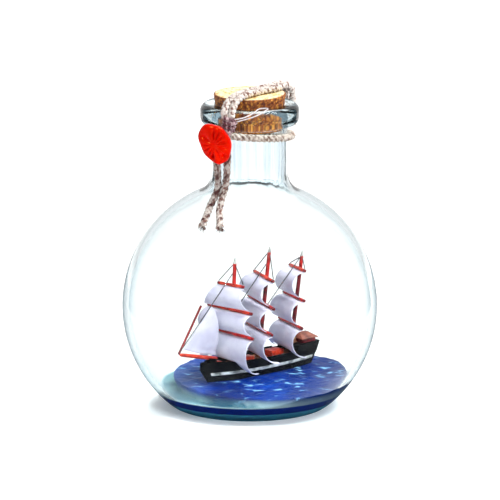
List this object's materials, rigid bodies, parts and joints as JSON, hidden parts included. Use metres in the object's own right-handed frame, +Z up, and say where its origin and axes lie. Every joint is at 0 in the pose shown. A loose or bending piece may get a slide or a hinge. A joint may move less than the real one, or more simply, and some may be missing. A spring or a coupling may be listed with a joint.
{
  "type": "ship in a bottle",
  "caption": "Round corked glass bottle holding a square-rigged sailing ship on a blue putty sea, tied with twisted cord and a wax seal.",
  "frame": {"origin": "centre of the bottle's flat base, on the surface that it stands on", "axes": "+Z up along the bottle's neck, -Y towards the front, +X to the right of the front view"},
  "size_m": [0.102, 0.102, 0.1307],
  "materials": {
    "clear_glass": "clear, faint blue-green in its thick parts",
    "cork": "agglomerated cork with dark granules",
    "twisted_cord": "twisted, cream with brown flecks",
    "white_thread": "matt thread",
    "sealing_wax": "glossy wax",
    "sea_putty": "painted putty with pale foam",
    "black_paint": "glossy black paint",
    "white_paint": "brushed white paint",
    "deck_wood": "stained wood",
    "orange_paint": "orange-red paint",
    "maroon_paint": "dark red paint",
    "brown_paint": "red-brown paint on wood",
    "pin_brass": "wire",
    "red_paint": "red paint on wood, pale tip",
    "spar_paint": "orange-red paint on wood",
    "sail_cloth": "stiffened satin cloth",
    "rigging_thread": "dark thread",
    "red_thread": "red thread"
  },
  "bodies": {
    "bottle_and_ship": {"bottle": "clear_glass", "neck_cord": "twisted_cord", "sea": "sea_putty", "hull": "black_paint", "hull_stripes": "white_paint", "deck": "deck_wood", "rails": "black_paint", "quarterdeck": "black_paint", "stern_cabin": "maroon_paint", "cabin_roof": "brown_paint", "deck_houses": "orange_paint", "rudder": "black_paint", "bowsprit_bed": "black_paint", "bowsprit": "orange_paint", "mast_steps": "deck_wood", "mast_pins": "pin_brass", "jib": "sail_cloth", "forestay": "rigging_thread", "yard_guy": "red_thread"},
    "cork": {"cork": "cork"},
    "cord_and_seal": {"over_cord_front": "twisted_cord", "over_cord_back": "twisted_cord", "cord_knot": "twisted_cord", "wax_seal": "sealing_wax", "cord_tail_left": "twisted_cord", "cord_tail_right": "twisted_cord", "tie_thread": "white_thread"},
    "fore_rig": {"fore_mast": "red_paint", "fore_top_yard": "spar_paint", "fore_middle_yard": "spar_paint", "fore_low_yard": "spar_paint", "fore_top_sail": "sail_cloth", "fore_middle_sail": "sail_cloth", "fore_low_sail": "sail_cloth", "fore_lifts": "rigging_thread"},
    "main_rig": {"main_mast": "red_paint", "main_top_yard": "spar_paint", "main_middle_yard": "spar_paint", "main_low_yard": "spar_paint", "main_top_sail": "sail_cloth", "main_middle_sail": "sail_cloth", "main_low_sail": "sail_cloth", "main_lifts": "rigging_thread", "main_stay": "rigging_thread"},
    "mizzen_rig": {"mizzen_mast": "red_paint", "mizzen_top_yard": "spar_paint", "mizzen_middle_yard": "spar_paint", "mizzen_low_yard": "spar_paint", "mizzen_top_sail": "sail_cloth", "mizzen_middle_sail": "sail_cloth", "mizzen_low_sail": "sail_cloth", "mizzen_lifts": "rigging_thread", "mizzen_stay": "rigging_thread"}
  },
  "joints": [
    {"name": "cork_pull", "type": "slide", "parent": "bottle_and_ship", "child": "cork", "axis": [0, 0, 1], "range_m": [0, 0.035]},
    {"name": "cord_lift", "type": "slide", "parent": "cork", "child": "cord_and_seal", "axis": [0, 0, 1], "range_m": [0, 0.03]},
    {"name": "main_mast_fold", "type": "hinge", "parent": "bottle_and_ship", "child": "main_rig", "pos_m": [0.00369, -0.00026, 0.0207], "axis": [-0.6428, 0.766, 0], "range_deg": [0, 22]},
    {"name": "fore_mast_fold", "type": "hinge", "parent": "bottle_and_ship", "child": "fore_rig", "pos_m": [-0.00749, -0.00964, 0.0207], "axis": [-0.6428, 0.766, 0], "range_deg": [0, 22]},
    {"name": "mizzen_mast_fold", "type": "hinge", "parent": "bottle_and_ship", "child": "mizzen_rig", "pos_m": [0.01702, 0.01093, 0.0246], "axis": [-0.6428, 0.766, 0], "range_deg": [0, 22]}
  ],
  "couplings": [
    {"joint": "fore_mast_fold", "follows": "main_mast_fold", "ratio": 1},
    {"joint": "mizzen_mast_fold", "follows": "main_mast_fold", "ratio": 1}
  ]
}
